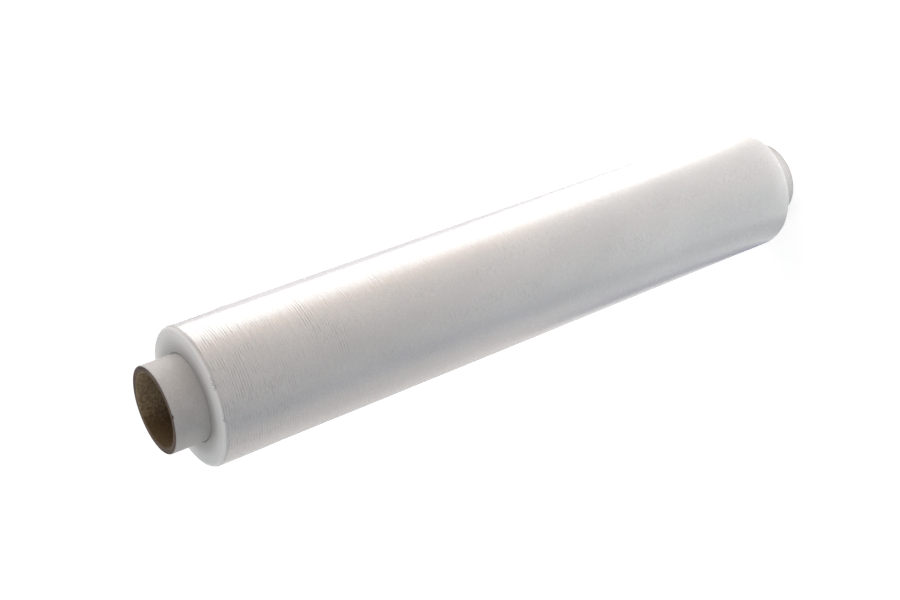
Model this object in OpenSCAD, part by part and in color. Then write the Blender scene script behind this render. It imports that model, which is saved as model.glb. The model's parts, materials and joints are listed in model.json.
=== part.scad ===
// Cling film roll, standing on the end of its core tube.
// A paperboard core carries one long film, wound tight and kept clear of both core ends.
// Lengths are in millimetres. The origin is the centre of the bottom rim, and +Z is the roll's axis.

/* [Core tube] */
// Diameter of the bore that slides over a dispenser's spindle
core_bore_d = 38; // [25:1:76]
// Thickness of the wound paperboard wall
core_wall = 3.5; // [2:0.25:6]
// Length of core left bare beyond the film at each end
core_overhang = 18; // [5:1:40]
// Width of the worn chamfer on the cut edges of the core
core_chamfer = 0.4; // [0.1:0.1:0.8]

/* [Film winding] */
// Width of the film
film_w = 380; // [200:10:600]
// Depth of film built up on the core
film_build = 13.7; // [8:0.1:50]
// Radius of the relaxed shoulder at each end of the winding
shoulder_r = 2.5; // [1:0.25:4]
// Height of the step along the free end of the outer turn
tail_step = 0.2; // [0.1:0.05:0.5]
// Direction in which the free end lies, seen from above
tail_angle = 70; // [0:5:355]

/* [Turns on the end faces] */
// Distance from one turn of the spiral groove to the next
turn_pitch = 1.5; // [1:0.1:4]
// Width of the groove
groove_w = 0.5; // [0.2:0.1:0.8]
// Depth of the groove
groove_d = 0.2; // [0.05:0.05:0.4]

/* [Tension ridges] */
// Distance from the top face of the winding to the first ridge
ridge_start = 9; // [6:0.5:30]
// Distance between the first two ridges
ridge_pitch = 5; // [4:0.25:12]
// How many times wider each gap is than the one above it
ridge_growth = 1.12; // [1.04:0.01:1.4]
// Width of a ridge at its foot
ridge_w = 2.4; // [1:0.2:3.6]
// Height of a ridge
ridge_h = 0.15; // [0.05:0.05:0.4]

/* [Hidden] */
$fn = 48;

// Straight segments in the arc of a shoulder
shoulder_steps = 4;
// Height by which a cutter stands clear of the face that it cuts
cut_clear = 1;

bore_r = core_bore_d / 2;
core_r = bore_r + core_wall;
core_len = film_w + 2 * core_overhang;
film_r = core_r + film_build;
film_z0 = core_overhang;
film_z1 = film_z0 + film_w;

// The spiral starts half a turn's pitch away from the core
spiral_r0 = core_r + turn_pitch / 2;
spiral_room = film_r - shoulder_r - groove_w / 2 - spiral_r0;
spiral_turns = max(0, floor(spiral_room / turn_pitch));

// Depth below the top face at which ridge number i lies: a growing series of gaps
function ridge_depth(i) =
    ridge_start + ridge_pitch * (pow(ridge_growth, i) - 1) / (ridge_growth - 1);
ridge_room = film_w - ridge_start - ridge_w / 2 - shoulder_r;
ridge_last = floor(ln(1 + ridge_room * (ridge_growth - 1) / ridge_pitch) / ln(ridge_growth));

// Points of one ridge on a wall of radius r, from its lower foot to its upper foot
function ridge_points(r, z) = [[r, z - ridge_w / 2], [r + ridge_h, z], [r, z + ridge_w / 2]];

// Points of a quarter round of radius shoulder_r about the point c, from angle a0 on
function shoulder_points(c, a0) = [
    for (k = [0 : shoulder_steps])
        c + shoulder_r * [cos(a0 + 90 * k / shoulder_steps), sin(a0 + 90 * k / shoulder_steps)]
];

// Section of the winding from its axis to its wall, for a wall of radius r
function winding_section(r) = concat(
    [[0, film_z0]],
    shoulder_points([r - shoulder_r, film_z0 + shoulder_r], -90),
    [for (i = [ridge_last : -1 : 0]) each ridge_points(r, film_z1 - ridge_depth(i))],
    shoulder_points([r - shoulder_r, film_z1 - shoulder_r], 0),
    [[0, film_z1]]
);

// Spiral of half turns about two centres, which lie half a pitch apart.
// Side 0 is a half turn about the axis. Side 1 is half a pitch larger and moved by as much,
// so that it meets side 0 on the left and lies one pitch outside it on the right.
module half_turn(side, pitch) {
    translate([side * pitch / 2, 0, 0])
        rotate([0, 0, 180 * side])
            rotate_extrude(angle = 180)
                children();
}

// The wound body: the outer turn runs out in one step along the whole width
module wound_body() {
    for (side = [0, 1])
        half_turn(side, tail_step)
            polygon(winding_section(film_r + side * tail_step / 2));
}

// Spiral groove between bands of turns, cut into a face that looks up at z = 0
module turn_groove() {
    for (i = [0 : 1 : spiral_turns - 1], side = [0, 1])
        half_turn(side, turn_pitch)
            translate([spiral_r0 + (i + side / 2) * turn_pitch, 0])
                polygon([
                    [-groove_w / 2, 0],
                    [0, -groove_d],
                    [groove_w / 2, 0],
                    [groove_w / 2, cut_clear],
                    [-groove_w / 2, cut_clear]
                ]);
}

// Spirally wound paperboard tube with a white outer ply
module core_tube() {
    color([0.87, 0.85, 0.82])
        rotate_extrude()
            polygon([
                [bore_r + core_chamfer, 0],
                [core_r - core_chamfer, 0],
                [core_r, core_chamfer],
                [core_r, core_len - core_chamfer],
                [core_r - core_chamfer, core_len],
                [bore_r + core_chamfer, core_len],
                [bore_r, core_len - core_chamfer],
                [bore_r, core_chamfer]
            ]);
}

// All turns of the film as one body, wound straight onto the core
module film_winding() {
    color([0.78, 0.78, 0.78])
        rotate([0, 0, tail_angle])
            difference() {
                wound_body();
                translate([0, 0, film_z0 - cut_clear])
                    cylinder(r = core_r, h = film_w + 2 * cut_clear);
                translate([0, 0, film_z1])
                    turn_groove();
                translate([0, 0, film_z0])
                    mirror([0, 0, 1])
                        turn_groove();
            }
}

core_tube();
film_winding();
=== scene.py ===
# %% [markdown]
# # A roll of cling film on its card core
#
# The real thing is one strip of very thin clear film, about 300 metres long, wound tight on a
# tube of glued paper. So many turns lie on each other that the clear film looks milky grey.
# The CAD frame holds both pieces at their real size. This lesson gives them the skin that the
# eye sees: the gathers and turns of the film, the cut plies of the card, and their finishes.

# %% Load the frame
import json
import math

import bpy
import numpy as np
from mathutils import Matrix, Vector


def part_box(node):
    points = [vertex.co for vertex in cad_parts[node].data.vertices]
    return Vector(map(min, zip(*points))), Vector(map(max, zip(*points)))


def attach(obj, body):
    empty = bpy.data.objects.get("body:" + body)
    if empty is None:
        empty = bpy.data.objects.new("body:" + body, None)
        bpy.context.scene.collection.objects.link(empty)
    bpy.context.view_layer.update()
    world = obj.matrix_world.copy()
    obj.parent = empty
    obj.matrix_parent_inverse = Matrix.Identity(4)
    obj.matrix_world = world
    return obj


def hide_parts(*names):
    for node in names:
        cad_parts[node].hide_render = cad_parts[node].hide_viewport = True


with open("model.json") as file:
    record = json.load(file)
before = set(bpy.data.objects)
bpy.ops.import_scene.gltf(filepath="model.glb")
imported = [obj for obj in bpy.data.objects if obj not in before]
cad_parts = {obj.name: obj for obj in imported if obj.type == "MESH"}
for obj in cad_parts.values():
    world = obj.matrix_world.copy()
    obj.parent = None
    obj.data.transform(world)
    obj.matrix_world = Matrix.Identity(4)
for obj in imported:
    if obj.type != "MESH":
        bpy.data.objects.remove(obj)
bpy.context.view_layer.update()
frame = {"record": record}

MM = 0.001

# %% [markdown]
# ## Sizes
#
# The main sizes come from the frame, so that the skins land on the solids. The two boxes give the
# lengths, and the mount in the record gives the bore. The ridge height, the step and the shoulder
# are given below as numbers. The solid's box takes in the low ridges and the step of the outer
# turn, so the wall itself lies a little inside it.

# %% Read the sizes
core_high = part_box("core_tube")[1]
film_low, film_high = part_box("film_winding")
mounts = {mount["name"]: mount for mount in frame["record"]["mounts"]}

bore_r = mounts["core_bore"]["dims"]["r_mm"] * MM
core_r = core_high.x
core_top = core_high.z
film_bottom, film_top = film_low.z, film_high.z

tail_step = 0.2 * MM
tail_angle = math.radians(70)
ridge_height = 0.15 * MM
film_r = -film_low.x - ridge_height
shoulder_r = 2.5 * MM
print("radius of film, core and bore in mm:", [round(v / MM, 2) for v in (film_r, core_r, bore_r)])

# %% [markdown]
# ## Camera
#
# The photograph shows the roll slanting across the picture, with the open core end at the left.
# Here the roll stands on its other end, so the camera is rolled on its side instead. Four facts
# found in the photograph place it: where the middle of the near film face lies, how large its
# radius looks there, and the two angles at which the roll runs away from the camera.
# From them the camera's place and its three axes follow by plain geometry.

# %% Place the camera
PICTURE = (900, 600)
SENSOR = 36.0
focal_px = 1483.0
face_px = (188.0, 397.6)
face_radius_px = 75.2
run_away = math.radians(32.1)
run_up = math.radians(-17.76)

# The camera's own axes here are right, down and forward
along_roll = np.array([
    math.cos(run_away) * math.cos(run_up),
    math.sin(run_up),
    math.sin(run_away) * math.cos(run_up),
])
roll_up = -along_roll
forward = np.array([0.0, 0.0, 1.0])
world_y = forward - (forward @ roll_up) * roll_up
world_y /= np.linalg.norm(world_y)
to_world = np.stack([np.cross(world_y, roll_up), world_y, roll_up])

distance = focal_px / face_radius_px * film_r
face_seen = distance * np.array([
    (face_px[0] - PICTURE[0] / 2) / focal_px,
    (face_px[1] - PICTURE[1] / 2) / focal_px,
    1.0,
])
eye = np.array([0.0, 0.0, film_top]) - to_world @ face_seen

camera_data = bpy.data.cameras.new("camera")
camera_data.sensor_width = SENSOR
camera_data.lens = focal_px / PICTURE[0] * SENSOR
camera_data.clip_start = 0.01
camera = bpy.data.objects.new("camera", camera_data)
turn = to_world @ np.diag([1.0, -1.0, -1.0])
camera.matrix_world = Matrix.Translation(eye.tolist()) @ Matrix(turn.tolist()).to_4x4()
bpy.context.scene.collection.objects.link(camera)
bpy.context.scene.camera = camera
bpy.context.scene.view_settings.view_transform = "Standard"
print("camera at", eye.round(3), "lens", round(camera_data.lens, 1), "mm")

# %% [markdown]
# ## A small language for finishes
#
# A finish is a net of nodes, and nets are slow to read as wiring. Two small classes turn them
# into plain expressions. A Signal wraps one output socket, and arithmetic on it adds the Math
# nodes. A Graph adds any other node from its kind, its settings and its inputs.

# %% Signals and graphs
class Signal:
    """One output of a node. Arithmetic with numbers and other signals gives new signals."""

    def __init__(self, graph, socket):
        self.graph = graph
        self.socket = socket

    def __add__(self, other):
        return self.graph.calc("ADD", self, other)

    def __radd__(self, other):
        return self.graph.calc("ADD", other, self)

    def __sub__(self, other):
        return self.graph.calc("SUBTRACT", self, other)

    def __rsub__(self, other):
        return self.graph.calc("SUBTRACT", other, self)

    def __mul__(self, other):
        return self.graph.calc("MULTIPLY", self, other)

    def __rmul__(self, other):
        return self.graph.calc("MULTIPLY", other, self)

    def __truediv__(self, other):
        return self.graph.calc("DIVIDE", self, other)

    def __rtruediv__(self, other):
        return self.graph.calc("DIVIDE", other, self)

    def __pow__(self, other):
        return self.graph.calc("POWER", self, other)

    def output(self, name):
        """Another output of the same node."""
        return Signal(self.graph, self.socket.node.outputs[name])

    def ease(self, low, high):
        """0 below low, 1 above high and a smooth rise between. With low above high it falls."""
        settings = {"interpolation_type": "SMOOTHSTEP"}
        if low < high:
            return self.graph.node("ShaderNodeMapRange", settings, {0: self, 1: low, 2: high})
        return 1 - self.graph.node("ShaderNodeMapRange", settings, {0: self, 1: high, 2: low})


class Graph:
    """The node tree of one material or of the world."""

    def __init__(self, tree):
        tree.nodes.clear()
        self.tree = tree

    def node(self, kind, settings=None, inputs=None, output=0):
        """Adds a node, sets it up and feeds its inputs. Returns the wanted output as a Signal."""
        made = self.tree.nodes.new(kind)
        for key, value in (settings or {}).items():
            if key == "stops":
                self.fill_ramp(made.color_ramp, value)
            else:
                setattr(made, key, value)
        for key, value in (inputs or {}).items():
            self.feed(made.inputs[key], value)
        return Signal(self, made.outputs[output]) if made.outputs else made

    def feed(self, socket, value):
        """Links a signal to the socket, or sets a plain value on it."""
        if isinstance(value, Signal):
            self.tree.links.new(value.socket, socket)
        elif socket.type == "RGBA" and len(value) == 3:
            socket.default_value = (*value, 1.0)
        else:
            socket.default_value = value

    def fill_ramp(self, ramp, stops):
        """Gives a colour ramp its stops, each a place and a colour."""
        while len(ramp.elements) < len(stops):
            ramp.elements.new(1.0)
        for element, (place, colour) in zip(ramp.elements, stops):
            element.position = place
            element.color = (*colour, 1.0)

    def blend(self, factor, first, second):
        """The colour that goes from first to second as factor goes from 0 to 1."""
        return self.node("ShaderNodeMix", {"data_type": "RGBA"}, {0: factor, 6: first, 7: second}, 2)

    def calc(self, operation, *values):
        """A Math node with this operation, fed with these values or signals."""
        return self.node("ShaderNodeMath", {"operation": operation}, dict(enumerate(values)))

    def place(self):
        """The point's place on the object, in metres."""
        return self.node("ShaderNodeTexCoord", output="Object")

    def vector(self, x, y, z):
        return self.node("ShaderNodeCombineXYZ", None, {0: x, 1: y, 2: z})

    def noise(self, place, detail=2.0, roughness=0.5):
        """Cloudy noise from 0 to 1, one cell for each unit of the place vector."""
        inputs = {"Vector": place, "Scale": 1.0, "Detail": detail, "Roughness": roughness}
        return self.node("ShaderNodeTexNoise", None, inputs)


def new_finish(name):
    """A new material and the graph of its nodes."""
    material = bpy.data.materials.new(name)
    material.use_nodes = True
    return material, Graph(material.node_tree)


# %% [markdown]
# ## Backdrop
#
# The picture is a plain studio shot on white. The floor and the world show as white only to
# the camera and in reflections, through Light Path, so that they do not light the object any
# harder. Close to the foot of the roll the floor glows a little less than further out. It keeps
# a share of its true shading there, which gives the roll a soft shadow to stand on. Brighter
# lamps on a white floor would do it too, but they would bleach the film as well.

# %% Make the floor and the world
def seen_directly(graph):
    """1 for rays from the camera, from a mirror or through glass, and 0 for the rest."""
    path = graph.node("ShaderNodeLightPath", output="Is Camera Ray")
    rays = path + path.output("Is Glossy Ray") + path.output("Is Transmission Ray")
    return graph.calc("MINIMUM", rays, 1.0)


def square_mesh(name, half, level):
    """A flat square that reaches half to each side of the axis, at a level above the ground."""
    corners = [(x * half, y * half, level) for x, y in ((-1, -1), (1, -1), (1, 1), (-1, 1))]
    mesh = bpy.data.meshes.new(name)
    mesh.from_pydata(corners, [], [(0, 1, 2, 3)])
    return mesh


FLOOR_COLOUR = (0.82, 0.82, 0.82)
FLOOR_HALF = 4.0
NEAR_GLOW, FAR_GLOW = (0.48, 0.48, 0.48), (0.72, 0.71, 0.70)
GLOW_RISES_FROM, GLOW_FULL_AT = 0.06, 0.36
AMBIENT = 0.49
AMBIENT_COLOUR = (0.945, 0.963, 0.99)

floor_mesh = square_mesh("floor", FLOOR_HALF, 0.0)
floor = bpy.data.objects.new("floor", floor_mesh)
bpy.context.scene.collection.objects.link(floor)

floor_paint, g = new_finish("floor_paint")
matt = g.node("ShaderNodeBsdfDiffuse", None, {"Color": FLOOR_COLOUR})
from_foot = g.node("ShaderNodeVectorMath", {"operation": "LENGTH"}, {0: g.place()}, "Value")
glow_colour = g.blend(from_foot.ease(GLOW_RISES_FROM, GLOW_FULL_AT), NEAR_GLOW, FAR_GLOW)
glow = g.node("ShaderNodeEmission", None, {"Color": glow_colour, "Strength": seen_directly(g)})
paint = g.node("ShaderNodeAddShader", None, {0: matt, 1: glow})
g.node("ShaderNodeOutputMaterial", None, {0: paint})
floor_mesh.materials.append(floor_paint)

world = bpy.data.worlds.new("studio")
world.use_nodes = True
bpy.context.scene.world = world
g = Graph(world.node_tree)
seen = seen_directly(g)
air = g.node("ShaderNodeBackground", None, {"Color": AMBIENT_COLOUR, "Strength": AMBIENT})
backdrop = g.node("ShaderNodeBackground", None, {"Color": (1, 1, 1), "Strength": 1.0})
sky = g.node("ShaderNodeMixShader", None, {0: seen, 1: air, 2: backdrop})
g.node("ShaderNodeOutputWorld", None, {0: sky})
print("floor", 2 * FLOOR_HALF, "m across, ambient", AMBIENT)

# %% [markdown]
# ## Lamps
#
# Area lamps are the softboxes of a studio. A large one stands beside the roll, on the side that
# is up in the picture, with a weak warm one next to it. One behind the roll and one at its lower
# edge keep the far sides from going flat, and two small ones near the floor lift the foot of the
# film and the bare core below it. Their strength is given as what a white card would show at the
# roll, so that six lamps are easy to balance against each other. Those whose mirror image the
# photograph does not show are hidden from mirror rays.

# %% Hang the lights
def softbox(name, bearing, distance, height, width, tall, brightness, colour, mirrored=True):
    """A rectangular lamp at a bearing round the roll, counted from +X, that looks level at its axis.

    Brightness is how bright a white card facing the lamp would be at the roll: the power over
    the square of pi times the distance.
    """
    lamp_data = bpy.data.lights.new(name, "AREA")
    lamp_data.shape = "RECTANGLE"
    lamp_data.size, lamp_data.size_y = width, tall
    lamp_data.energy = brightness * (math.pi * distance) ** 2
    lamp_data.color = colour
    lamp = bpy.data.objects.new(name, lamp_data)
    outward = Vector((math.cos(math.radians(bearing)), math.sin(math.radians(bearing)), 0))
    lamp.location = outward * distance + Vector((0, 0, height))
    lamp.rotation_euler = (-outward).to_track_quat("-Z", "Y").to_euler()
    lamp.visible_camera = False
    lamp.visible_glossy = mirrored
    bpy.context.scene.collection.objects.link(lamp)
    print(name, "stands at", [round(v, 2) for v in lamp.location], round(lamp_data.energy, 1), "W")


softbox("side_light", bearing=12, distance=0.85, height=0.45, width=0.65, tall=1.0,
        brightness=0.38, colour=(1.0, 0.98, 0.96))
softbox("warm_light", bearing=-38, distance=0.9, height=0.60, width=0.35, tall=0.8,
        brightness=0.15, colour=(1.0, 0.66, 0.46))
softbox("low_light", bearing=-102, distance=0.32, height=0.05, width=0.30, tall=0.06,
        brightness=0.28, colour=(0.90, 0.955, 1.0), mirrored=False)
softbox("foot_light", bearing=-85, distance=0.048, height=0.009, width=0.06, tall=0.012,
        brightness=0.18, colour=(1.0, 1.0, 1.0), mirrored=False)
softbox("edge_light", bearing=150, distance=0.9, height=0.35, width=0.35, tall=0.9,
        brightness=0.15, colour=(1.0, 0.94, 0.90), mirrored=False)
softbox("back_light", bearing=82, distance=0.9, height=0.20, width=0.40, tall=0.36,
        brightness=0.42, colour=(1.0, 0.99, 0.98))

# %% [markdown]
# ## The mirror floor
#
# The bright streak along the roll is a mirror image. The camera looks down, so the upright wall
# mirrors what lies on the floor: a wide lamp makes the streak, paler cloth beside it makes the
# slow fall of light below the streak, and dark cards make the thin cool line along each edge,
# without which the roll would vanish into the white backdrop. Photographers lay such lamps and
# cards round a shiny object one by one. Here they are one sheet whose colour changes with the
# bearing, in two lists: one for the floor far from the roll, which the upper wall mirrors, and
# one for the floor near it. Only mirror rays see the sheet, so it lights nothing else.

# %% Lay the mirror floor
def lay_mirror_floor(far_stops, near_stops):
    """A glowing sheet round the roll. A stop is a bearing in degrees and a glow in red, green, blue.

    The ramp's place is the bearing, counted from the first one, as a share of the full circle.
    """
    first_bearing, brightest = -112.0, 10.0
    half, above_floor = 1.6, 2 * MM
    near_ends, far_starts = 0.27, 0.38
    mesh = square_mesh("mirror_floor", half, above_floor)
    paint, graph = new_finish("mirror_floor")
    x = graph.node("ShaderNodeSeparateXYZ", None, {0: graph.place()})
    y = x.output("Y")
    bearing = graph.calc("ARCTAN2", y, x) / (2 * math.pi)
    way_round = graph.calc("FRACT", bearing - first_bearing / 360 + 1)
    ramps = [
        graph.node("ShaderNodeValToRGB", {"stops": [
            ((at - first_bearing) / 360, [part / brightest for part in glow]) for at, glow in stops
        ]}, {0: way_round})
        for stops in (near_stops, far_stops)
    ]
    is_far = ((x * x + y * y) ** 0.5).ease(near_ends, far_starts)
    colour = graph.blend(is_far, *ramps)
    light = graph.node("ShaderNodeEmission", None, {"Color": colour, "Strength": brightest})
    graph.node("ShaderNodeOutputMaterial", None, {0: light})
    mesh.materials.append(paint)
    sheet = bpy.data.objects.new("mirror_floor", mesh)
    sheet.visible_camera = False
    sheet.visible_diffuse = False
    sheet.visible_shadow = False
    bpy.context.scene.collection.objects.link(sheet)


plain = (1.1, 1.1, 1.1)
streak, cool_card, pale_cloth = (9.4, 9.25, 9.05), (0.98, 0.96, 1.12), (1.12, 1.09, 1.07)
warm_cloth, blue_card = (1.62, 1.43, 1.33), (0.50, 0.47, 0.72)
far_stops = [
    (-112, plain), (-90, (1.7, 1.52, 1.4)), (-70, (2.4, 2.11, 1.93)), (-46, (3.2, 2.9, 2.7)),
    (-34, (3.5, 3.2, 2.97)), (-32, (5.5, 4.17, 3.37)), (-16, (5.6, 4.3, 3.5)),
    (-15, streak), (36, streak), (37, cool_card), (92, cool_card), (94, plain),
    (100, pale_cloth), (129, pale_cloth), (131, warm_cloth), (184, warm_cloth),
    (192, plain), (197, blue_card), (214, blue_card), (222, plain),
]
near_streak, side_cloth, grey_card = (9.0, 8.9, 8.8), (5.0, 4.6, 4.3), (0.95, 0.95, 1.0)
near_cloth, violet_card, dark_card = (1.3, 1.28, 1.26), (0.30, 0.30, 0.46), (0.30, 0.31, 0.33)
near_stops = [
    (-112, plain), (-90, (1.6, 1.45, 1.35)), (-70, (2.1, 1.9, 1.75)), (-46, (2.8, 2.6, 2.45)),
    (-32, (3.4, 3.2, 3.0)), (-28, side_cloth), (-16, side_cloth),
    (-15, near_streak), (37, near_streak), (38, grey_card), (92, grey_card), (94, plain),
    (100, near_cloth), (136, near_cloth), (143, violet_card), (159, violet_card),
    (168, (1.15, 1.15, 1.2)), (186, (0.80, 0.81, 0.86)),
    (198, dark_card), (208, dark_card), (216, plain),
]
lay_mirror_floor(far_stops, near_stops)
print(len(far_stops), "and", len(near_stops), "stops round the roll")

# %% [markdown]
# ## How a round skin is made
#
# Both pieces are bodies of revolution, so both skins are one grid. Its rows follow the outline
# of the half section, up the inside, over the top, down the outside and back underneath, and
# its columns go round the axis. The grid closes in both directions, like the skin of a ring,
# so it has no seam and no pole to close. A spun modifier could do the same, but a grid of
# numbers lets each point move by a formula before the mesh exists.

# %% Grid helpers
def run(stops, steps):
    """Values from stop to stop, with the given number of equal steps in each stretch."""
    parts = [np.linspace(a, b, n, endpoint=False) for a, b, n in zip(stops, stops[1:], steps)]
    return np.concatenate(parts)


def arc(centre, radius, start, stop, steps):
    """Points of a circular arc in the half section, angles in degrees, without its last point."""
    angle = np.radians(np.linspace(start, stop, steps, endpoint=False))
    return centre[0] + radius * np.cos(angle), centre[1] + radius * np.sin(angle)


def closed_skin(name, radius, height, azimuth, material, node):
    """A mesh whose points are radius, azimuth and height on a grid closed in both directions."""
    rows, columns = radius.shape
    places = np.stack([radius * np.cos(azimuth), radius * np.sin(azimuth), height], axis=-1)
    index = np.arange(rows * columns, dtype=np.int32).reshape(rows, columns)
    below = np.roll(index, -1, axis=0)
    corners = np.stack([index, below, np.roll(below, -1, axis=1), np.roll(index, -1, axis=1)], axis=-1)
    count = rows * columns
    mesh = bpy.data.meshes.new(name)
    mesh.vertices.add(count)
    mesh.vertices.foreach_set("co", places.astype(np.float32).ravel())
    mesh.loops.add(count * 4)
    mesh.loops.foreach_set("vertex_index", corners.ravel())
    mesh.polygons.add(count)
    mesh.polygons.foreach_set("loop_start", np.arange(0, count * 4, 4, dtype=np.int32))
    mesh.polygons.foreach_set("use_smooth", np.ones(count, dtype=bool))
    mesh.update()
    mesh.validate()
    mesh.materials.append(material)
    piece = bpy.data.objects.new(name, mesh)
    bpy.context.scene.collection.objects.link(piece)
    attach(piece, "root")
    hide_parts(node)
    print(name, "has", 2 * count, "triangles")


# %% [markdown]
# ## Where a finish is on the roll
#
# Both finishes need to know how far a point is from the axis and which way it faces round it.
# The cosine and sine of the azimuth are used in place of the angle itself, because a noise
# that is fed with them has no seam where the angle would jump. Paper also needs a noise that
# is the same in every direction, and a spiral line for the edges of its strips.

# %% Cylindrical coordinates for finishes
def roll_places(graph):
    """Distance from the axis, cosine and sine of the azimuth, and height, in metres."""
    x = graph.node("ShaderNodeSeparateXYZ", None, {0: graph.place()})
    y, z = x.output("Y"), x.output("Z")
    r = (x * x + y * y) ** 0.5
    return r, x / r, y / r, z


def facing(c, s, bearing):
    """The cosine of the angle between the way a point faces and a bearing in radians."""
    return c * math.cos(bearing) + s * math.sin(bearing)


def even_noise(graph, cells, detail=2.0, roughness=0.5):
    """Noise that is the same in every direction, with this many cells to the metre."""
    inputs = {0: graph.place(), "Scale": cells}
    scaled = graph.node("ShaderNodeVectorMath", {"operation": "SCALE"}, inputs)
    return graph.noise(scaled, detail, roughness)


def spiral_line(graph, c, s, z, rise, width):
    """1 on a line that winds round the tube and climbs by rise each turn, and 0 beside it."""
    angle = graph.calc("ARCTAN2", s, c)
    turns = z / rise - angle / (2 * math.pi)
    phase = graph.calc("FRACT", turns)
    off = graph.calc("ABSOLUTE", phase - 0.5)
    return off.ease(width / rise, 0.4 * width / rise)


# %% [markdown]
# ## The card core
#
# The core is strips of brown paper glued round a mandrel in a spiral, with one white strip
# outside. The saw leaves a flat ring of bare board with slightly rounded edges. A lathe tool or
# a Screw modifier could turn this section, but here it is a list of points that goes round the
# section once, close together on the edges and the cut, and far apart along the straight walls.

# %% Shape the core
CORE_COLUMNS = 240
edge_r = 0.45 * MM
rim_wear = 0.10 * MM


def core_section():
    """Radius and height along the half section of the tube, as a closed loop of points."""
    out_c, in_c = core_r - edge_r, bore_r + edge_r
    low, high = edge_r, core_top - edge_r
    parts = [
        (np.full(60, bore_r), run([low, high], [60])),
        arc((in_c, high), edge_r, 180, 90, 4),
        (run([in_c, out_c], [18]), np.full(18, core_top)),
        arc((out_c, high), edge_r, 90, 0, 5),
        (np.full(52, core_r), run([high, film_top, film_bottom, low], [24, 4, 24])),
        arc((out_c, low), edge_r, 0, -90, 5),
        (run([out_c, in_c], [18]), np.zeros(18)),
        arc((in_c, low), edge_r, -90, -180, 4),
    ]
    return np.concatenate([p[0] for p in parts]), np.concatenate([p[1] for p in parts])


section_r, section_z = core_section()
azimuth = np.linspace(0, 2 * np.pi, CORE_COLUMNS, endpoint=False)[None, :]
radius = np.repeat(section_r[:, None], CORE_COLUMNS, axis=1)
height = np.repeat(section_z[:, None], CORE_COLUMNS, axis=1)
print("core section of", len(section_r), "points, edges rounded by", edge_r / MM, "mm")

# %% [markdown]
# ## Wear on the rims
#
# A saw cut through paper is never a clean circle. Each rim sinks by up to a tenth of a
# millimetre, by slow sines round the tube and by fine rings where the plies end, and a small
# chip is missing from the outer edge of the near rim, as in the photograph. Sculpting could do
# this by hand, but a formula gives the same rim on every run.

# %% Wear the rims of the core
def bump_at(angle, centre, half_width):
    """A bell curve over the azimuth, 1 at the centre, with the angle wrapped round the circle."""
    away = np.angle(np.exp(1j * (angle - centre)))
    return np.exp(-(away / half_width) ** 2)


# Each rim is slightly uneven: slow swells round it, and low rings where the plies end
ply = 0.5 * MM
swell = (
    0.5 + 0.22 * np.sin(3 * azimuth + 0.6) + 0.16 * np.sin(7 * azimuth + 2.1)
    + 0.12 * np.sin(19 * azimuth)
)
ply_rings = 0.5 + 0.5 * np.cos(2 * np.pi * (radius - bore_r) / ply)
rim_share = np.exp(-np.minimum(height, core_top - height) / edge_r)
sink = rim_wear * rim_share * (0.6 * swell + 0.4 * ply_rings)
toward_middle = np.where(height > core_top / 2, -1.0, 1.0)
height = height + toward_middle * sink

# The nick: a small chip out of the outer edge of the near rim, which fades downwards
nick_at, nick_half_width = math.radians(-106), 0.045
nick_reach, nick_fade = 1.1 * MM, 0.7 * MM
nick_down, nick_in = 0.45 * MM, 0.35 * MM
from_rim = core_top - section_z[:, None]
nick = bump_at(azimuth, nick_at, nick_half_width) * np.exp(-from_rim / nick_fade)
on_outside = (section_r[:, None] > core_r - nick_reach).astype(float)
height = height - nick_down * nick * on_outside
radius = radius - nick_in * nick * on_outside
print("rims worn by up to", round(float(sink.max()) / MM, 3), "mm")

# %% [markdown]
# ## Finish of the card
#
# One material covers the whole tube, because the distance from the axis says which layer of
# paper a point lies in: white ply outside, bare board at the cut, brown paper inside the bore.
# The board is mottled with fibres, and the edges of the spiral strips show as faint slanting
# lines on the white ply and in the bore. The side of the bore that faces -X is painted dark, as
# the shade inside the tube.

# %% Paint the plies
WHITE_THIN, WHITE_THICK = (0.525, 0.517, 0.507), (0.575, 0.567, 0.557)
WHITE_PIT, WHITE_SPOT, WHITE_SEAM = (0.38, 0.37, 0.36), (0.37, 0.36, 0.35), (0.33, 0.31, 0.295)
BOARD_DARK, BOARD_PALE, BOARD_FIBRE = (0.085, 0.055, 0.045), (0.19, 0.145, 0.115), (0.26, 0.21, 0.175)
KRAFT_DARK, KRAFT_PALE, KRAFT_FIBRE = (0.270, 0.195, 0.115), (0.450, 0.345, 0.215), (0.34, 0.26, 0.17)
# The second colour of the next line is painted shade for one side of the bore.
KRAFT_SEAM, KRAFT_PAINTED_SHADE = (0.07, 0.05, 0.03), (0.080, 0.046, 0.014)
OUTER_RISE, INNER_RISE = 92 * MM, 84 * MM

card, g = new_finish("paperboard")
r, c, s, z = roll_places(g)

fibre = even_noise(g, 900.0, 4.0, 0.65)
mottle = even_noise(g, 700.0, 3.0, 0.6)
tooth = even_noise(g, 1500.0, 2.0, 0.6)
cloud = even_noise(g, 60.0)
plies = g.noise(g.vector(r * 2600.0, c * 2.0, s * 2.0), 2.0)

white_ply = g.blend(cloud.ease(0.35, 0.65), WHITE_THIN, WHITE_THICK)
white_ply = g.blend(tooth.ease(0.45, 0.68) * 0.40, white_ply, WHITE_PIT)
white_ply = g.blend(mottle.ease(0.55, 0.75) * 0.22, white_ply, WHITE_SPOT)
outer_seam = spiral_line(g, c, s, z, OUTER_RISE, 0.35 * MM)
white_ply = g.blend(outer_seam * 0.12, white_ply, WHITE_SEAM)

board = g.blend(plies.ease(0.35, 0.65), BOARD_DARK, BOARD_PALE)
board = g.blend(fibre.ease(0.5, 0.75) * 0.5, board, BOARD_FIBRE)

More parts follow.
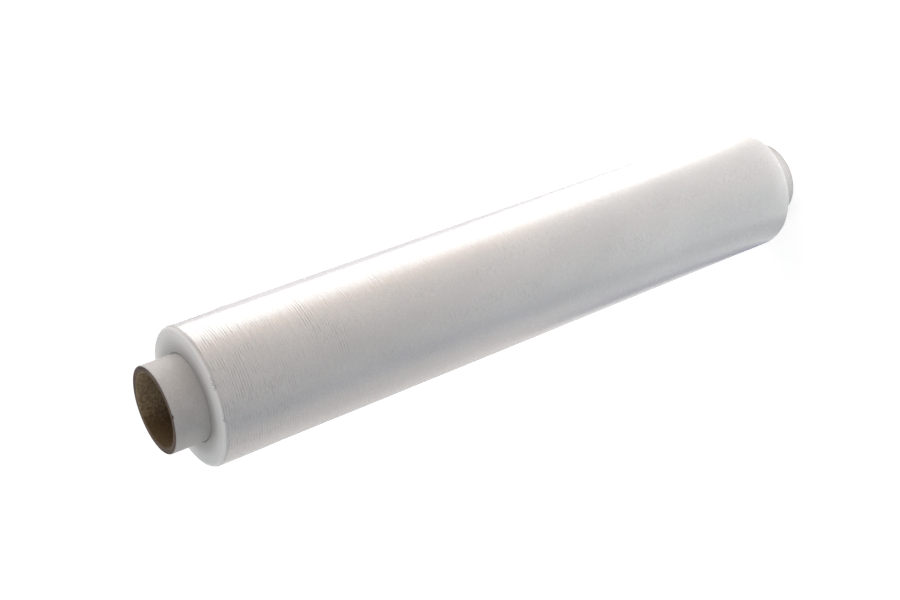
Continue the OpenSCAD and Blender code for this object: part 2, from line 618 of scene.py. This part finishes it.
kraft = g.blend(mottle.ease(0.35, 0.65), KRAFT_DARK, KRAFT_PALE)
kraft = g.blend(fibre.ease(0.55, 0.8) * 0.5, kraft, KRAFT_FIBRE)
inner_seam = spiral_line(g, c, s, z, INNER_RISE, 0.5 * MM)
kraft = g.blend(inner_seam * 0.25, kraft, KRAFT_SEAM)
# Painted shade: the side of the bore that faces -X is darkened nearly to black-brown, as the shade that
# falls inside the tube there.
bore_shade_mask = (c + (mottle - 0.5) * 0.5).ease(0.45, -0.35)
kraft = g.blend(bore_shade_mask * 0.84, kraft, KRAFT_PAINTED_SHADE)
print(len(g.tree.nodes), "nodes colour the three kinds of paper")

# %% [markdown]
# ## Layers of the card
#
# The colours meet where the layers do. The border of the white ply wanders by a fifth of a
# millimetre with the fibres, as a furred cut does. Paper is matt, so the roughness is high, and
# the white ply, which is pressed smooth in the mill, has a little less of it. Fibres and the
# edges of the strips are a slight relief.

# %% Put the card together
ply_edge = r + (fibre - 0.5) * (0.2 * MM)
is_white = ply_edge.ease(core_r - 0.42 * MM, core_r - 0.30 * MM)
is_bore = r.ease(bore_r + 0.5 * MM, bore_r + 0.2 * MM)
colour = g.blend(is_bore, board, kraft)
colour = g.blend(is_white, colour, white_ply)
roughness = 0.86 - is_white * 0.22 + (fibre - 0.5) * 0.1
relief = fibre * 0.5 + mottle * 0.4 - inner_seam * is_bore * 0.8 - outer_seam * is_white * 0.5
bump = g.node("ShaderNodeBump", None, {"Strength": 0.35, "Distance": 0.25 * MM, "Height": relief})
shader = g.node("ShaderNodeBsdfPrincipled", None, {
    "Base Color": colour, "Roughness": roughness, "Normal": bump, "Specular IOR Level": 0.35,
})
g.node("ShaderNodeOutputMaterial", None, {0: shader})

closed_skin("core_skin", radius, height, azimuth, card, "core_tube")

# %% [markdown]
# ## The wound film
#
# Film is wound under tension, and it is never even. Three things show from outside: low bands
# that run round the roll, short gathers near the end where the film was pulled to one side, and
# the step in which the last turn ends. The skin is a plain winding first, and each of these is
# then a height over it, as a formula over azimuth and height. The rows lie closer together in
# the upper part, where the gathers are.

# %% Lay out the winding
FILM_COLUMNS = 240
FACE_ROWS = 44
SHOULDER_ROWS = 14
dense_zone = 112 * MM

wall_top, wall_bottom = film_top - shoulder_r, film_bottom + shoulder_r
wall_z = run([wall_top, wall_top - dense_zone, wall_bottom], [160, 126])
face_out = film_r - shoulder_r
hug = 0.5 * MM

parts = [
    (np.full(5, core_r), run([film_bottom + hug, film_top - hug], [5])),
    (run([core_r, core_r + hug, face_out], [3, FACE_ROWS]),
     np.concatenate([run([film_top - hug, film_top], [3]), np.full(FACE_ROWS, film_top)])),
    arc((face_out, wall_top), shoulder_r, 90, 0, SHOULDER_ROWS),
    (np.full(len(wall_z), film_r), wall_z),
    arc((face_out, wall_bottom), shoulder_r, 0, -90, SHOULDER_ROWS),
    (run([face_out, core_r + hug, core_r], [FACE_ROWS, 3]),
     np.concatenate([np.full(FACE_ROWS, film_bottom), run([film_bottom, film_bottom + hug], [3])])),
]
base_r = np.concatenate([p[0] for p in parts])[:, None]
base_z = np.concatenate([p[1] for p in parts])[:, None]
print("winding grid", len(base_r), "rows by", FILM_COLUMNS, "columns")

# %% [markdown]
# ## The outer turn
#
# The free end of the film is a thin step down the whole roll. As on the solid, the first half
# turn beyond the step is a plain half circle. The second is larger by half a step and its centre
# lies half a step to the side, so that it comes round a full step outside the first. The columns
# of the grid begin just past the step and stop just short of it, and the one column of faces
# between them is the step itself.

# %% Wind the outer turn
half_step_gap = 0.0015
way_round = np.linspace(half_step_gap, 2 * np.pi - half_step_gap, FILM_COLUMNS)[None, :]
tail_sway = 0.010 * np.sin(base_z / (31 * MM)) + 0.006 * np.sin(base_z / (11.3 * MM) + 1.0)
azimuth = tail_angle + way_round + tail_sway
outward = np.clip((base_r - core_r) / (face_out - core_r), 0, 1)
second_half = np.where(way_round > np.pi, 1 + np.cos(way_round), 0.0)
turn_rise = tail_step / 2 * second_half * outward
print("the outer turn rises by", round(float(turn_rise.max()) / MM, 3), "mm")

# %% [markdown]
# ## Bands
#
# Where the film is a hair thicker, every turn stands on the last one, and a low ridge grows
# round the roll. The gaps between the ridges widen from the top end downwards. Each ridge is a
# bell curve over the height, stronger on one side of the roll, and slow sines let the wall
# between them swell. A bump in the finish could only shade them, while real ridges also bend the
# long highlight, as in the photograph.

# %% Raise the bands
# How much of a point's height above the plain winding acts outward, on the wall, and how much
# upward, on the end faces: the squares of the section's direction at that point
share_wall = np.clip((base_r - face_out) / shoulder_r, 0, 1) ** 2
share_face = np.where(base_r > core_r + hug, 1 - share_wall, 0.0)

first_band, first_gap, growth, band_width = 9 * MM, 5 * MM, 1.12, 2.4 * MM
bands_kept_clear, band_wander = 15 * MM, 0.5 * MM
band_share, swell_height = 0.45, 0.03 * MM
band_room = film_top - film_bottom - bands_kept_clear
band_count = 1 + int(math.log(1 + band_room * (growth - 1) / first_gap, growth))
band_depths = first_band + first_gap * (growth ** np.arange(band_count) - 1) / (growth - 1)


def bands(angle, z):
    """Sum of bell curves over the height, one per band, each stronger on one side of the roll."""
    total = np.zeros(np.broadcast(angle, z).shape)
    for number, depth in enumerate(band_depths):
        strength = (0.62 + 0.38 * np.sin(angle + 2.4 * number)) * (1 - 0.8 * bump_at(angle, -0.15, 0.5))
        drift = band_wander * np.sin(angle * 2 + 1.7 * number)
        total += strength * np.exp(-(((film_top - depth + drift) - z) / (0.42 * band_width)) ** 2)
    return total


slow_waves = (
    np.sin(base_z / (9.5 * MM) + 0.5 * np.sin(azimuth))
    + 0.8 * np.sin(base_z / (5.1 * MM) + 0.9 * np.sin(azimuth + 1.0) + 2.0)
    + 0.6 * np.sin(base_z / (23 * MM) + 0.7 * np.sin(2 * azimuth))
) / 2.4
wall_rise = ridge_height * band_share * bands(azimuth, base_z) + swell_height * slow_waves
print(band_count, "bands, highest", round(float(wall_rise.max()) / MM, 3), "mm")

# %% [markdown]
# ## Gathers
#
# A gather is a short crease that runs round the roll and fades out at both ends. Seen across,
# it is a small ridge with a shallow valley on each side, which is the curve that a bell's
# second slope gives. Most are scattered, thick near the top end and thin further down.
# Some groups stand out in the photograph, and these are listed one by one.

# %% Scatter the gathers
rng = np.random.default_rng(42)
scattered = 210
from_top = 112 * MM * rng.beta(0.9, 2.0, scattered) + 3 * MM
# The columns of both arrays are azimuth, height, reach round the roll, width and rise
gathers = np.stack([
    np.radians(rng.uniform(20, 325, scattered)),
    film_top - from_top,
    rng.uniform(0.07, 0.20, scattered),
    rng.uniform(0.85, 1.3, scattered) * MM,
    rng.uniform(0.006, 0.024, scattered) * MM * rng.choice([1.0, -1.0], scattered, p=[0.7, 0.3]),
], axis=1)

sparse = 120
gathers_below = np.stack([
    rng.uniform(0, 2 * np.pi, sparse),
    rng.uniform(film_bottom + 8 * MM, film_top - dense_zone, sparse),
    rng.uniform(0.10, 0.30, sparse),
    rng.uniform(1.9, 3.0, sparse) * MM,
    rng.uniform(0.003, 0.009, sparse) * MM,
], axis=1)

# Azimuth in degrees, height below the film's top in mm, number of creases, gap between them
# in mm, reach round the roll in radians and height in mm
groups = [
    (-38, 7.5, 7, 2.3, 0.26, 0.050),
    (-88, 9.0, 5, 2.2, 0.20, -0.070),
    (-60, 54.0, 5, 2.6, 0.36, 0.062),
    (-86, 65.0, 4, 2.8, 0.30, -0.056),
    (-52, 70.0, 2, 3.4, 0.16, 0.060),
    (-56, 82.0, 2, 3.0, 0.14, 0.060),
    (-52, 99.0, 5, 2.8, 0.18, 0.055),
    (-50, 130.0, 3, 2.6, 0.16, 0.050),
    (-50, 222.0, 2, 3.0, 0.12, 0.040),
    (-49, 237.0, 3, 2.8, 0.14, 0.045),
    (-48, 260.0, 3, 2.6, 0.12, 0.045),
]
placed_width = 0.95 * MM
placed = [
    (
        math.radians(at), film_top - (below + k * gap) * MM,
        reach * (1 - 0.12 * (k % 3)), placed_width, tall * MM,
    )
    for at, below, number, gap, reach, tall in groups
    for k in range(number)
]


def crease_height(angle, z, creases):
    """Sum over the creases of (1 - 2u^2) exp(-u^2), u the distance across in widths, faded along."""
    total = np.zeros(np.broadcast(angle, z).shape)
    for centre, level, reach, width, tall in creases:
        away = np.angle(np.exp(1j * (angle - centre)))
        across = (z - level - 1.2 * MM * away) / width
        total += tall * (1 - 2 * across ** 2) * np.exp(-across ** 2 - (away / reach) ** 2)
    return total


creases = np.concatenate([gathers, gathers_below, np.array(placed)])
wall_rise = wall_rise + crease_height(azimuth, base_z, creases)
wall_rise = np.clip(wall_rise, -0.25 * MM, 0.88 * ridge_height)
print(scattered + sparse, "scattered gathers and", len(placed), "placed ones")

# %% [markdown]
# ## Edges of the turns
#
# The end faces are the cut edges of all the turns. The machine lets the film wander by a
# fraction of a millimetre, so the face carries a shallow spiral groove that follows the
# turns out from the core, and slow swells. The phase of the spiral is the distance out, less
# one pitch for each time round. Where the face rounds into the wall, the loose edges curl up
# into a fine bead.

# %% Cut the spiral and close the winding
turn_pitch, groove_width, groove_depth = 1.5 * MM, 0.5 * MM, 0.2 * MM
wander_height, face_margin = 0.05 * MM, 0.8 * MM
phase = (base_r - core_r) / turn_pitch - 0.5 - way_round / (2 * np.pi)
off_groove = np.abs(phase - np.round(phase)) * turn_pitch
groove = groove_depth * np.exp(-(off_groove / (0.42 * groove_width)) ** 2)
groove *= 0.45 + 0.25 * np.sin(azimuth + base_r / (1.9 * MM))
wander = wander_height * (1 + np.sin(base_r / (1.3 * MM) + np.sin(azimuth)))
face_sink = (groove + wander) * np.clip((face_out - base_r) / face_margin, 0, 1)

# The bead follows the angle round the shoulder, 0 where it meets the wall
middle = (film_top + film_bottom) / 2
past_wall = np.abs(base_z - middle) - (wall_top - middle)
shoulder_angle = np.arcsin(np.clip(past_wall / shoulder_r, 0, 1))
bead_height, bead_at, bead_half_width = 0.10 * MM, 0.62, 0.16
bead = bead_height * np.exp(-((shoulder_angle - bead_at) / bead_half_width) ** 2) * (base_r > face_out)
bead = bead * (0.8 + 0.2 * np.sin(5 * azimuth + 1.0))
radius = base_r + turn_rise + share_wall * wall_rise + bead
toward_middle = np.where(base_z > middle, -1.0, 1.0)
height = base_z + toward_middle * share_face * face_sink
print("film radius in mm:", [round(float(v) / MM, 2) for v in (radius.min(), radius.max())])

# %% [markdown]
# ## Creases too fine for the mesh
#
# Near the top end, where the film was pulled to one side, short creases stand in rows, one above
# the other, and more of them lie over the gathers that are modelled. The first function is the
# usual way to draw a soft line in nodes. The second says how creased the film is at a point:
# a sine over the azimuth, swayed by two noises, makes the rows, and a mask for each group adds
# its patch.

# %% Say where the film is creased
def bell(graph, value, centre, half_width):
    """1 at the centre, falling to 0 at half_width on both sides."""
    off = graph.calc("ABSOLUTE", value - centre)
    return off.ease(half_width, 0.0)


def crease_amount(graph, c, s, z):
    """How creased the film is at a point, from 0 to 1: rows near the top end, and the groups."""
    faint_below, full_above = film_top - 80 * MM, film_top - 10 * MM
    rows_round, deepest = 21.0, 0.07
    near_end = z.ease(faint_below, full_above)
    angle = graph.calc("ARCTAN2", s, c)
    ends = graph.noise(graph.vector(c * 2.5, s * 2.5, z * 600.0), 1.0)
    sway = graph.noise(graph.vector(c * 1.5, s * 1.5, z * 22.0), 1.0)
    wave = graph.calc("SINE", angle * rows_round + ends * 7.0 + sway * 12.0)
    rows = wave.ease(-0.10, 0.55)
    thin_patches = graph.noise(graph.vector(c * 5.0 + 7, s * 5.0, z * 48.0), 2.0).ease(0.58, 0.74)
    amount = (rows * 0.75 + 0.06) * near_end + thin_patches * rows * 0.20
    for at, below, number, gap, reach, tall in groups:
        level = film_top - (below + 0.5 * (number - 1) * gap) * MM
        across = bell(graph, z, level, (0.5 * number * gap + 3) * MM)
        along = facing(c, s, math.radians(at)).ease(math.cos(1.5 * reach), math.cos(0.4 * reach))
        amount = amount + along * across * (abs(tall) / deepest)
    return graph.calc("MINIMUM", amount, 1.0)


# %% [markdown]
# ## Marks on the film
#
# The finish has one noise or sine for each kind of mark, with cells that are long round the roll
# and thin along it: pleats for the creases, a short hatch that runs round the roll everywhere, a
# fine grain, wide clouds, and the edges of the turns on the end faces. The grain is fed with the
# height less the distance from the axis, so that it runs over the shoulder without turning into
# spokes. The side next to the big lamp was pulled tight, so its marks are held back.

# %% Lay out the marks
SMOOTH_SIDE = math.radians(-10)
pleat_pitch = 1.45 * MM

film, g = new_finish("cling_film")
r, c, s, z = roll_places(g)

on_wall = r.ease(film_r - 0.75 * MM, film_r - 0.15 * MM)
on_face = r.ease(film_r - 2.4 * MM, film_r - 3.6 * MM)
shoulder_light_mask = r.ease(film_r - 5.5 * MM, film_r - 2.0 * MM) * (1 - on_wall)
pulled = 1 - facing(c, s, SMOOTH_SIDE).ease(math.cos(0.62), math.cos(0.30)) * 0.85

drift = g.noise(g.vector(c * 1.6, s * 1.6, z * 45.0), 1.0)
pleats = g.calc("SINE", z * (2 * math.pi / pleat_pitch) + drift * 11.0)
single = g.noise(g.vector(c * 7.0, s * 7.0, z * 480.0), 1.0).ease(0.34, 0.60)
creased = crease_amount(g, c, s, z) * on_wall * single

hatch = g.noise(g.vector(c * 18.0, s * 18.0, z * 1300.0), 1.0)
patches = g.noise(g.vector(c * 3.0, s * 3.0, z * 30.0), 1.0).ease(0.45, 0.65)
grain = g.noise(g.vector(c * 60.0, s * 60.0, (z - r) * 1700.0), 2.0, 0.7)
cloud = g.noise(g.vector(c * 1.1, s * 1.1, z * 16.0), 2.0)
turn_edges = g.noise(g.vector(r * 3200.0, c * 1.2, s * 1.2), 3.0, 0.6)
print(len(g.tree.nodes), "nodes lay out the marks on the film")

# %% [markdown]
# ## Colour of the film
#
# One turn of this film is clear. A thousand turns with a little air between them scatter light
# like milk, so the ground is a pale grey with faint clouds. The colour is laid on in coats, each
# blended over the last by its mask: a trace of rainbow tint, the end face with painted shade near
# the core and painted light towards its edge, the round shoulder painted pale as light, a painted
# shade and a painted highlight on the two sides of each crease, and then the grain, the hatch and
# the edges of the turns.

# %% Paint the film
MILK_THIN, MILK_THICK = (0.615, 0.613, 0.607), (0.680, 0.673, 0.665)
# The end face colours and the pale shoulder are painted shade and painted light, and the two crease
# colours are a painted shade and a painted highlight.
FACE_SHADED_AT_CORE, FACE_LIT_AT_EDGE = (0.45, 0.445, 0.43), (0.95, 0.945, 0.93)
SHOULDER_PAINTED_LIGHT = (0.97, 0.965, 0.955)
CREASE_PAINTED_SHADE, CREASE_PAINTED_HIGHLIGHT = (0.34, 0.335, 0.33), (0.82, 0.82, 0.815)
GRAIN_DARK, TURN_DARK = (0.42, 0.415, 0.41), (0.46, 0.46, 0.455)

tint_place = g.vector(c * 12.0, s * 12.0, (z - r) * 330.0)
tints = g.noise(tint_place, 3.0, 0.75).output("Color")
# Painted shade and light: the end face is darker near the core, as shade where it meets the core, and
# paler towards its outer edge, as light.
face_painted_shading = g.blend(r.ease(core_r, film_r - 3 * MM), FACE_SHADED_AT_CORE, FACE_LIT_AT_EDGE)

colour = g.blend(cloud.ease(0.3, 0.7), MILK_THIN, MILK_THICK)
colour = g.blend(0.08, colour, tints)
colour = g.blend(on_wall, face_painted_shading, colour)
# Painted light: the round shoulder is painted nearly white, as the light it catches.
colour = g.blend(shoulder_light_mask, colour, SHOULDER_PAINTED_LIGHT)
# Painted shade and painted highlight: each crease is darker on one side and paler on the other.
colour = g.blend(pleats.ease(0.1, -0.9) * creased * 0.48, colour, CREASE_PAINTED_SHADE)
colour = g.blend(pleats.ease(0.2, 0.95) * creased * 0.40, colour, CREASE_PAINTED_HIGHLIGHT)
colour = g.blend(grain.ease(0.60, 0.40) * pulled * (on_wall * 0.17 + 0.09), colour, GRAIN_DARK)
hatched = hatch.ease(0.50, 0.30) * on_wall * pulled * (patches * 0.24 + 0.07)
colour = g.blend(hatched, colour, GRAIN_DARK)
colour = g.blend(turn_edges.ease(0.55, 0.25) * on_face * 0.28, colour, TURN_DARK)
print(len(g.tree.nodes), "nodes with the colour")

# %% [markdown]
# ## The crinkle
#
# On the shoulder that faces the camera the loose edge of the outer turn has folded, and the shade
# in the fold is painted as a thin dark zigzag, with a shorter one further on. It is a soft line at a
# fixed height, moved up and down by a noise over the azimuth, and masked to its stretch of the roll.

# %% Fold the loose edge
# The dark colour of the crinkle is painted shade in the fold.
CRINKLE_PAINTED_SHADE = (0.16, 0.15, 0.16)
CRINKLE_DEPTH, CRINKLE_HALF_WIDTH, CRINKLE_SWING = 1.0 * MM, 0.42 * MM, 4.5 * MM
# Each crinkle's bearing and its reach to both sides, in degrees
CRINKLES = ((-87, 6.0), (-116.5, 2.0))

zigzag = g.noise(g.vector(c * 42.0, s * 42.0, 0.0), 1.0) - 0.5
crinkle_line = bell(g, z + zigzag * CRINKLE_SWING, film_top - CRINKLE_DEPTH, CRINKLE_HALF_WIDTH)
for at, reach in CRINKLES:
    none, full = math.cos(math.radians(reach)), math.cos(math.radians(0.7 * reach))
    along = facing(c, s, math.radians(at)).ease(none, full)
    # Painted shade: the zigzag darkens the film where the fold would be in shade.
    colour = g.blend(crinkle_line * along * 0.62, colour, CRINKLE_PAINTED_SHADE)
print(len(CRINKLES), "crinkles on the shoulder")

# %% [markdown]
# ## Gloss and relief of the film
#
# The wall is glossy, and the cut faces are duller, because they are all edges. So is the back of
# the roll beside the free end, where hands have held it. The pleats, the hatch and the edges of
# the turns are also a slight bump, so that they catch the light. Some light is let in below the
# surface, which softens the shade as milky layers do.

# %% Finish the film
HANDLED_SIDE = math.radians(55)
WALL_ROUGHNESS, CUT_EXTRA, HANDLED_EXTRA = 0.27, 0.18, 0.36

handled = facing(c, s, HANDLED_SIDE).ease(math.cos(math.radians(55)), math.cos(math.radians(25)))
roughness = (
    WALL_ROUGHNESS + (hatch - 0.5) * 0.02 + (1 - on_wall) * CUT_EXTRA
    + handled * on_wall * HANDLED_EXTRA
)
relief = pleats * creased * pulled * 0.34 + hatch * on_wall * 0.012 + turn_edges * on_face * 0.4
bump = g.node("ShaderNodeBump", None, {"Strength": 0.7, "Distance": 0.22 * MM, "Height": relief})
shader = g.node("ShaderNodeBsdfPrincipled", None, {
    "Base Color": colour, "Roughness": roughness, "Normal": bump, "IOR": 1.5,
    "Subsurface Weight": 0.2, "Subsurface Radius": (1.0, 0.95, 0.9),
    "Subsurface Scale": 1.5 * MM,
})
g.node("ShaderNodeOutputMaterial", None, {0: shader})

closed_skin("film_skin", radius, height, azimuth, film, "film_winding")
